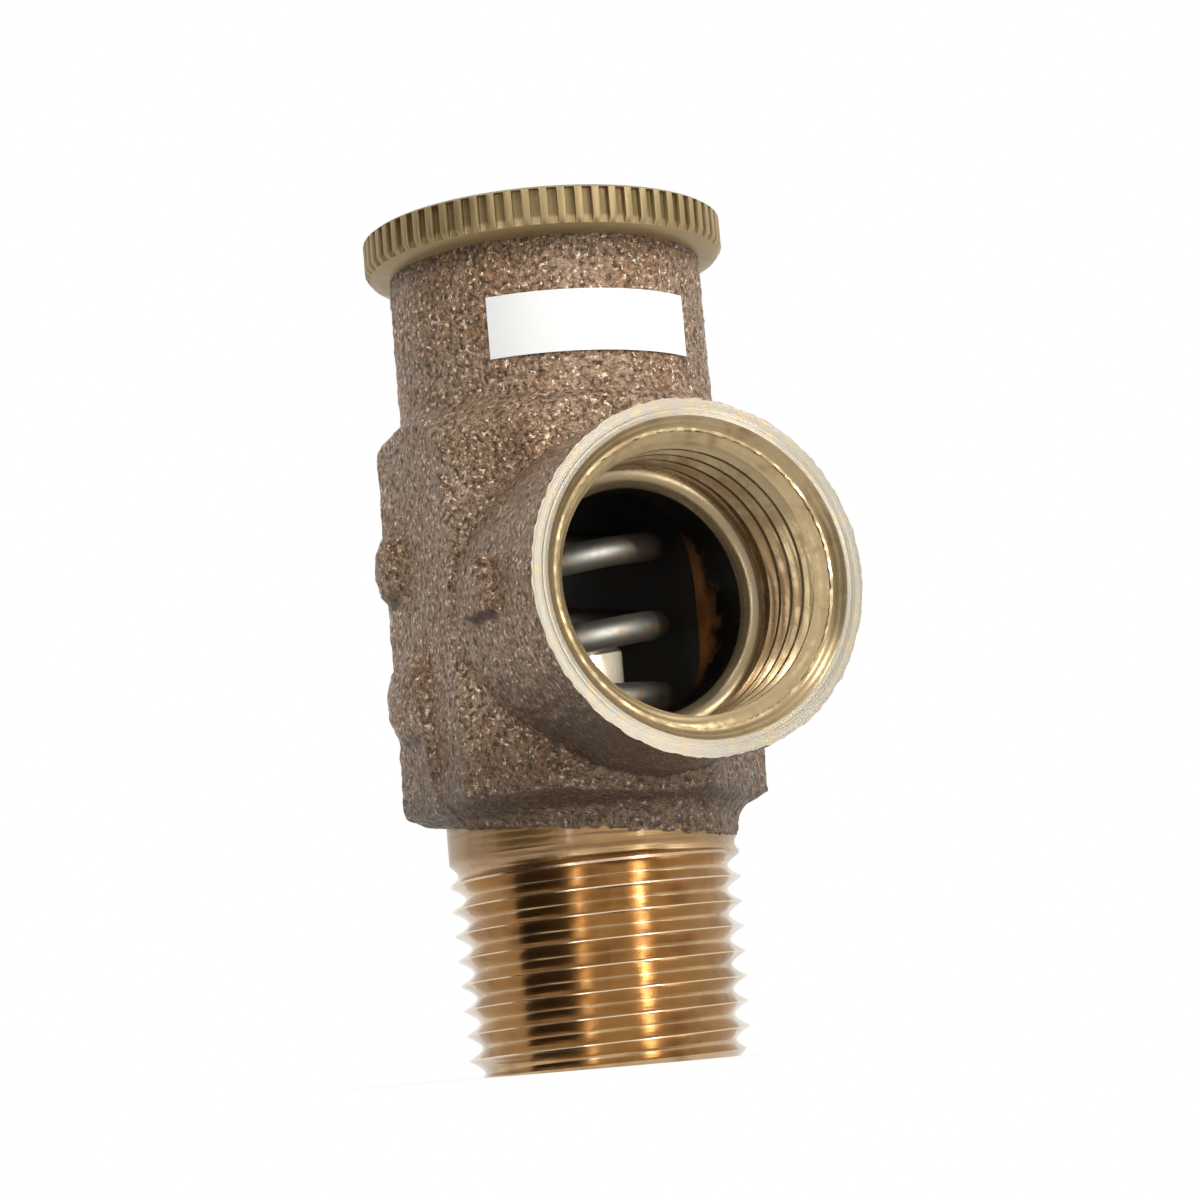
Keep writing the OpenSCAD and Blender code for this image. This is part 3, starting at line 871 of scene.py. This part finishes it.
def outlet_tool(sizes, finish):
    """The shape that the drill, the tap and the countersink cut out of the outlet."""
    pitch, depth, drill, burr = sizes.pitch, sizes.outlet_depth, sizes.outlet_radius, sizes.burr
    relief_radius = drill + 0.15 * MM
    relief_foot = sizes.port_reach
    relief_top = relief_foot + sizes.relief_width
    root = drill + depth + 0.07 * MM
    mouth = OUTLET_REACH - (sizes.countersink_radius - root)
    flank = (root - drill) * math.tan(math.radians(32))
    burr_top = mouth + 0.7 * burr
    burr_sides = 2 * FINE_SIDES
    piece = turned("outlet_tool", [
        (relief_radius, relief_foot), (relief_radius, relief_top), (drill, relief_top),
        (drill, mouth - flank), (root - burr, mouth - burr), (root - burr, burr_top),
        (root + burr, burr_top), (sizes.countersink_radius + OVERCUT, OUTLET_REACH + OVERCUT)],
        burr_sides, finish)
    torn = random.Random(5)

    # Only points on the edge between countersink and thread are torn
    def tear(co):
        radius = off_centre(co)
        if abs(radius - root + burr) > 0.5 * burr or abs(co.z - mouth) > 1.1 * burr:
            return co
        growth = 1 + torn.uniform(-0.5, 0.5) * burr / radius
        return Vector((co.x * growth, co.y * growth, co.z + torn.uniform(-0.3, 0.3) * burr))

    reshape(piece, tear)
    points = 20
    turns_below = 7.5
    flat = sizes.outlet_crest
    # The tap's crests lie just inside the drilled bore, and its first turn fades in from the relief
    crest = drill - 0.02 * MM
    lead = 0.3 * MM
    foot = OUTLET_REACH - sizes.outlet_crest_y - turns_below * pitch

    def groove(part):
        return max(0, (abs(1 - 2 * part) - flat) / (1 - flat))

    form = [(crest + depth * groove(i / points), foot + pitch * i / points) for i in range(points + 1)]
    tap = threaded("tap", pitch, form, relief_foot + lead, mouth, finish)

    def fade_in(co):
        radius = off_centre(co)
        fade = smoothstep(co.z, relief_foot + lead, relief_top + lead)
        return at_radius(co, radius, crest + fade * (radius - crest))

    reshape(tap, fade_in)
    combine(piece, tap, "UNION")
    return along_outlet(piece)


def valve_bore_tool(sizes, finish):
    """Everything bored about the valve axis: passage, seat lip, chamber and screw bore."""
    lead = 0.8 * MM
    lip = sizes.passage_radius + 0.9 * MM
    floor = sizes.seat_z - 1 * MM
    screw_bore = SCREW_HIGH.x + 0.05 * MM
    return turned("valve_bore_tool", [
        (sizes.passage_radius + lead + OVERCUT, -OVERCUT), (sizes.passage_radius, lead),
        (sizes.passage_radius, sizes.seat_z), (lip, sizes.seat_z), (lip, floor),
        (sizes.chamber_radius, floor), (sizes.chamber_radius, sizes.screw_z),
        (screw_bore, sizes.screw_z), (screw_bore, BODY_HIGH.z + OVERCUT)], material=finish)


class VALVE_OT_body(bpy.types.Operator):
    """Casts the valve body, then faces, bores and threads it"""

    bl_idname = "valve.body"
    bl_label = "Valve body"

    def execute(self, context):
        sizes = context.scene.valve_body_sizes
        colours = context.scene.valve_colours
        skin = sand_cast_bronze(colours)
        faced = faced_bronze(colours)
        wide = 40 * MM
        body = cast_form(sizes, skin)
        combine(body, block("outlet_facing", (-wide, -wide, -wide), (wide, -OUTLET_REACH, 2 * wide), faced))
        combine(body, block("rim_facing", (-wide, -wide, BODY_HIGH.z), (wide, wide, 2 * wide), faced))
        combine(body, inlet_nipple(sizes, turned_bronze(colours, sizes)), "UNION")
        bored = bored_bronze("Bored bronze", colours.bored, colours.bored_stain, 0.75)
        rounded = bored_bronze("Rounded bronze", colours.faced, colours.bored, 0.9)
        for tool, finish in ((outlet_tool, bored), (shoulder_tool, rounded),
                             (port_tool, port_bronze(colours, sizes)),
                             (valve_bore_tool, chamber_bronze(colours))):
            combine(body, tool(sizes, finish))
        shade(body, math.radians(28), skin)
        seat(body, "valve_body", "cast_bronze", "body")
        return {"FINISHED"}


class VALVE_OT_lock_ring(bpy.types.Operator):
    """Turns the lock ring and presses its grip slots"""

    bl_idname = "valve.lock_ring"
    bl_label = "Lock ring"

    def execute(self, context):
        sizes = context.scene.valve_piece_sizes
        count = sizes.ring_slots
        radius, foot, top = RING_HIGH.x, RING_LOW.z, RING_HIGH.z
        # The bevel turns steeper near its top
        bevel_width, turn_width, turn_drop = 1.5 * MM, 0.35 * MM, 0.45 * MM
        edge_width, edge_drop = 0.3 * MM, 0.2 * MM
        slot_drop = 0.4 * MM
        bevel_top = foot + sizes.ring_bevel
        finish = ring_brass(context.scene.valve_colours, radius - sizes.slot_depth, radius)
        ring = turned("knurled_lock_ring", [
            (radius - bevel_width, foot), (radius - turn_width, bevel_top - turn_drop),
            (radius, bevel_top), (radius, top - edge_drop), (radius - edge_width, top)], 4 * count, finish)
        half_width = sizes.slot_share * math.tau * radius / count / 2
        slots = block("slots", (radius - sizes.slot_depth, -half_width, bevel_top - slot_drop),
                      (radius + OVERCUT, half_width, top - sizes.ring_lip), finish)
        with editing(slots):
            bpy.ops.mesh.spin(steps=count, dupli=True, angle=math.tau, center=(0, 0, 0), axis=(0, 0, 1))
            bpy.ops.mesh.select_all(action="SELECT")
            bpy.ops.mesh.remove_doubles(threshold=WELD)
            face_outwards()
        combine(ring, slots)
        bore = SCREW_HIGH.x + 0.08 * MM
        combine(ring, turned("ring_bore", [
            (bore, foot - OVERCUT), (bore, top + OVERCUT)], 2 * count, finish))
        apply_modifier(ring, "BEVEL", width=0.06 * MM, segments=2, limit_method="ANGLE",
                       angle_limit=math.radians(40), loop_slide=False)
        shade(ring, math.radians(50))
        seat(ring, "lock_ring", "ring_brass", "lock_ring")
        return {"FINISHED"}


class VALVE_OT_adjusting_screw(bpy.types.Operator):
    """Turns the adjusting screw, slots its head and drills its pivot hole"""

    bl_idname = "valve.adjusting_screw"
    bl_label = "Adjusting screw"

    def execute(self, context):
        sizes = context.scene.valve_piece_sizes
        colours = context.scene.valve_colours
        finish = inner_brass("Turned brass", colours.inner_brass, colours.bored_stain, 1)
        radius, foot, top = SCREW_HIGH.x, SCREW_LOW.z, SCREW_HIGH.z
        edge = 0.8 * MM
        screw = turned("slotted_adjusting_screw", [
            (radius - edge, foot), (radius, foot + edge), (radius, top - edge), (radius - edge, top)],
            material=finish)
        half = sizes.driver_slot / 2
        combine(screw, block("driver_slot", (-2 * radius, -half, top - sizes.driver_depth),
                             (2 * radius, half, top + OVERCUT), finish))
        combine(screw, turned("pivot_drill", [
            (sizes.pivot_radius, foot - OVERCUT), (sizes.pivot_radius, foot + sizes.pivot_depth)],
            SIDES // 2, finish))
        apply_modifier(screw, "BEVEL", width=0.12 * MM, segments=2, limit_method="ANGLE",
                       angle_limit=math.radians(35))
        shade(screw, math.radians(40))
        seat(screw, "adjusting_screw", "turned_brass", "adjusting_screw")
        return {"FINISHED"}


class VALVE_OT_spring(bpy.types.Operator):
    """Winds the spring with its closed ends and parts it into two stretches at a height"""

    bl_idname = "valve.spring"
    bl_label = "Spring"

    def execute(self, context):
        sizes = context.scene.valve_piece_sizes
        turns, split = sizes.spring_turns, sizes.spring_split
        wire = sizes.wire / 2
        coil_radius = 6 * MM
        gap = 0.02 * MM
        seat_low = round(SPRING_LOW.z / MM) * MM
        seat_high = round(SPRING_HIGH.z / MM) * MM
        # A closed end rises slowly, then its pitch opens over part of a turn
        end_pitch, end_flat, end_ramp = 0.4 * MM, 0.3, 0.6
        points_per_turn = 40

        def ramp(turn):
            if turn < 0:
                return 0
            return turn * turn / (2 * end_ramp) if turn < end_ramp else turn - end_ramp / 2

        half_rise = (seat_high - seat_low - sizes.wire) / 2 - gap
        open_pitch = (half_rise - end_pitch * turns / 2) / ramp(turns / 2 - end_flat)

        def height(turn):
            if turn > turns / 2:
                return 2 * half_rise - height(turns - turn)
            return end_pitch * turn + open_pitch * ramp(turn - end_flat)

        count = math.ceil(points_per_turn * turns)
        path = bpy.data.curves.new("spring", "CURVE")
        path.dimensions = "3D"
        path.bevel_depth = wire
        path.bevel_resolution = 4
        path.use_fill_caps = True
        line = path.splines.new("POLY")
        line.points.add(count)
        for i, point in enumerate(line.points):
            turn = turns * i / count
            around = sizes.spring_start + math.tau * turn
            point.co = (coil_radius * math.cos(around), coil_radius * math.sin(around),
                        seat_low + gap + wire + height(turn), 1)
        only(add_object("spring_lower_coils", path))
        bpy.ops.object.convert(target="MESH")
        lower = context.active_object
        lower.data.materials.clear()
        lower.data.materials.append(spring_steel(context.scene.valve_colours))
        with editing(lower):
            bpy.ops.mesh.remove_doubles(threshold=WELD)
            face_outwards()
        bpy.ops.object.duplicate()
        upper = name_piece("spring_upper_coils")
        # The spring is parted at a height into a lower and an upper stretch; the lower one rides on the
        # body
        for stretch, end, outward in ((lower, split - WELD, 1), (upper, split + WELD, -1)):
            with editing(stretch):
                trim((0, 0, end), (0, 0, outward), near=0.1 * MM)
            shade(stretch, math.radians(50))
        seat(lower, "valve_body", "spring_steel", "spring")
        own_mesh(lower)
        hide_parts("spring")
        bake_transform(upper)
        return {"FINISHED"}


class VALVE_OT_inner_pieces(bpy.types.Operator):
    """Finishes the upper spring seat and the disc's pieces"""

    bl_idname = "valve.inner_pieces"
    bl_label = "Spring seat and disc"

    def execute(self, context):
        colours = context.scene.valve_colours
        brass = inner_brass("Turned seat brass", colours.inner_brass, colours.bored_stain, 1)
        # The disc holder's pale colour is a painted highlight: a lit copy of the turned brass
        pale = inner_brass("Holder brass painted pale as highlight", colours.holder, colours.inner_brass, 0.55)
        finishes = {"upper_spring_seat": brass, "disc_holder": pale, "disc_washer": brass,
                    "disc_screw": brass, "seat_disc": seat_rubber(colours)}
        for node, finish in finishes.items():
            piece = frame["nodes"][node]
            piece.data.materials.clear()
            piece.data.materials.append(finish)
        return {"FINISHED"}


class VALVE_OT_label(bpy.types.Operator):
    """Wraps a bare label round the spring housing"""

    bl_idname = "valve.label"
    bl_label = "Label"

    def execute(self, context):
        sizes = context.scene.valve_piece_sizes
        # The label clears the tops of the sand grains
        radius = context.scene.valve_body_sizes.housing_radius + 0.12 * MM
        clear_selection()
        bpy.ops.mesh.primitive_plane_add(size=1)
        label = name_piece("label", label_vinyl(context.scene.valve_colours))
        with editing(label):
            bpy.ops.mesh.subdivide(number_cuts=31)

        def wrap(co):
            around = sizes.label_from + (co.x + 0.5) * (sizes.label_to - sizes.label_from)
            height = sizes.label_foot + (co.y + 0.5) * (sizes.label_top - sizes.label_foot)
            return Vector((radius * math.sin(around), -radius * math.cos(around), height))

        reshape(label, wrap)
        apply_modifier(label, "SOLIDIFY", thickness=sizes.label_thickness, offset=0)
        with editing(label):
            face_outwards()
        shade(label, math.radians(40))
        seat(label, "valve_body", "cast_bronze")
        return {"FINISHED"}


# Stage


def add_object(name, data):
    """Puts new data into the scene as an object."""
    thing = bpy.data.objects.new(name, data)
    bpy.context.scene.collection.objects.link(thing)
    return thing


def stand(thing, target, around, above, away, front="-Z"):
    """Stands a lamp or a card off its target, by degrees round from the camera and above the horizon."""
    turn, rise = math.radians(CAMERA_AZIMUTH + around), math.radians(above)
    thing.location = target + away * Vector((
        math.cos(turn) * math.cos(rise), math.sin(turn) * math.cos(rise), math.sin(rise)))
    thing.rotation_euler = (target - thing.location).to_track_quat(front, "Y").to_euler()


def shown_rays(add, *kinds):
    """1 for rays of these kinds, which show the white backdrop, and 0 for the others."""
    rays = add("LightPath").node.outputs
    shown = rays[kinds[0]]
    for kind in kinds[1:]:
        shown = add("Math", {0: shown, 1: rays[kind]}, operation="MAXIMUM")
    return shown


def pale_floor(colours):
    """A pale matt floor that fades into the white backdrop away from the valve."""
    material, add, place = new_material("Pale floor", Roughness=0.9, Base_Color=colours.floor)
    tree = material.node_tree
    away = add("VectorMath", {0: place}, "Value", operation="LENGTH")
    fade = add("MapRange", {
        "Value": away, "From Min": 12 * MM, "From Max": 35 * MM}, interpolation_type="SMOOTHSTEP")
    seen = shown_rays(add, "Is Camera Ray", "Is Glossy Ray")
    # What is seen of the floor is nine tenths white
    white = add("Math", {0: seen, 1: 0.9}, operation="MULTIPLY")
    glow = add("Emission", {"Color": (1, 1, 1, 1), "Strength": 1})
    lit = add("MixShader", {
        0: white, 1: tree.nodes["Principled BSDF"].outputs[0], 2: glow})
    surface = add("MixShader", {0: fade, 1: lit, 2: add("BsdfTransparent")})
    tree.links.new(surface, tree.nodes["Material Output"].inputs["Surface"])
    return material


def dark_card(colours):
    """Black felt on a card that stands out of the picture and gives the metal something dark to show."""
    return new_material("Black felt", Roughness=1, Base_Color=colours.card)[0]


def white_world():
    """A white backdrop that lights the valve at a plain level."""
    world = bpy.data.worlds.new("Studio")
    world.use_nodes = True
    tree = world.node_tree
    add = functools.partial(add_node, tree)
    background = tree.nodes["Background"]
    background.inputs["Color"].default_value = (1, 1, 1, 1)
    shown = shown_rays(add, "Is Camera Ray", "Is Glossy Ray", "Is Transmission Ray")
    strength = add("MapRange", {"Value": shown, "To Min": 0.6, "To Max": 1})
    tree.links.new(strength, background.inputs["Strength"])
    return world


class VALVE_OT_stage(bpy.types.Operator):
    """Sets the floor, the backdrop, the lamps and the camera"""

    bl_idname = "valve.stage"
    bl_label = "Studio stage"

    def execute(self, context):
        scene = context.scene
        colours = scene.valve_colours
        scene.view_settings.view_transform = "Standard"
        scene.world = white_world()

        clear_selection()
        bpy.ops.mesh.primitive_circle_add(vertices=SIDES, radius=0.8, fill_type="NGON")
        floor = name_piece("floor", pale_floor(colours))

        for name, around, above, away, width, height, brightness in LAMPS:
            light = bpy.data.lights.new(name, "AREA")
            light.shape = "RECTANGLE"
            light.size = width
            light.size_y = height
            light.energy = brightness * math.pi * width * height
            stand(add_object(name, light), AIM, around, above, away)

        # A narrow spot shines through the port onto the spring and the disc holder
        spot = bpy.data.lights.new("Port spot", "SPOT")
        spot.energy = 9
        spot.spot_size = math.radians(2)
        spot.spot_blend = 0.4
        spot.shadow_soft_size = 2 * MM
        port = Vector((0, -scene.valve_body_sizes.port_reach, OUTLET_Z))
        stand(add_object("Port spot", spot), port, around=42, above=6, away=0.4)

        clear_selection()
        bpy.ops.mesh.primitive_grid_add(x_subdivisions=2, y_subdivisions=2, size=1)
        card = name_piece("left_card", dark_card(colours))
        card.scale = (0.27, 0.34, 1)
        stand(card, AIM, around=-50.5, above=8, away=0.26, front="Z")
        settle(card)
        card.visible_camera = False
        card.visible_shadow = False

        camera = bpy.data.cameras.new("Camera")
        camera.sensor_width = 36
        camera.lens = 94.572
        camera.clip_start = 0.01
        viewer = add_object("Camera", camera)
        viewer.location = Vector(CAMERA_PLACE) * MM
        viewer.rotation_euler = [math.radians(turn) for turn in CAMERA_TURN]
        scene.camera = viewer
        return {"FINISHED"}


class VALVE_PT_panel(bpy.types.Panel):
    """Lists the valve's pieces, sizes and colours"""

    bl_idname = "VALVE_PT_panel"
    bl_label = "Pressure relief valve"
    bl_space_type = "VIEW_3D"
    bl_region_type = "UI"
    bl_category = "Valve"

    def draw(self, context):
        for operator in OPERATORS:
            self.layout.operator(operator.bl_idname)
        for name, group in GROUPS.items():
            column = self.layout.column()
            for field in group.__annotations__:
                column.prop(getattr(context.scene, name), field)


OPERATORS = (VALVE_OT_body, VALVE_OT_lock_ring, VALVE_OT_adjusting_screw, VALVE_OT_spring,
             VALVE_OT_inner_pieces, VALVE_OT_label, VALVE_OT_stage)
GROUPS = {"valve_body_sizes": ValveBodySizes, "valve_piece_sizes": ValvePieceSizes,
          "valve_colours": ValveColours}


def register():
    for kind in (*GROUPS.values(), *OPERATORS, VALVE_PT_panel):
        bpy.utils.register_class(kind)
    for name, group in GROUPS.items():
        setattr(bpy.types.Scene, name, bpy.props.PointerProperty(type=group))


def unregister():
    for name in GROUPS:
        delattr(bpy.types.Scene, name)
    for kind in (VALVE_PT_panel, *reversed(OPERATORS), *reversed(tuple(GROUPS.values()))):
        bpy.utils.unregister_class(kind)


def main():
    """Builds every piece and the stage."""
    register()
    bpy.ops.valve.body()
    bpy.ops.valve.lock_ring()
    bpy.ops.valve.adjusting_screw()
    bpy.ops.valve.spring()
    bpy.ops.valve.inner_pieces()
    bpy.ops.valve.label()
    bpy.ops.valve.stage()


if __name__ == "__main__":
    main()
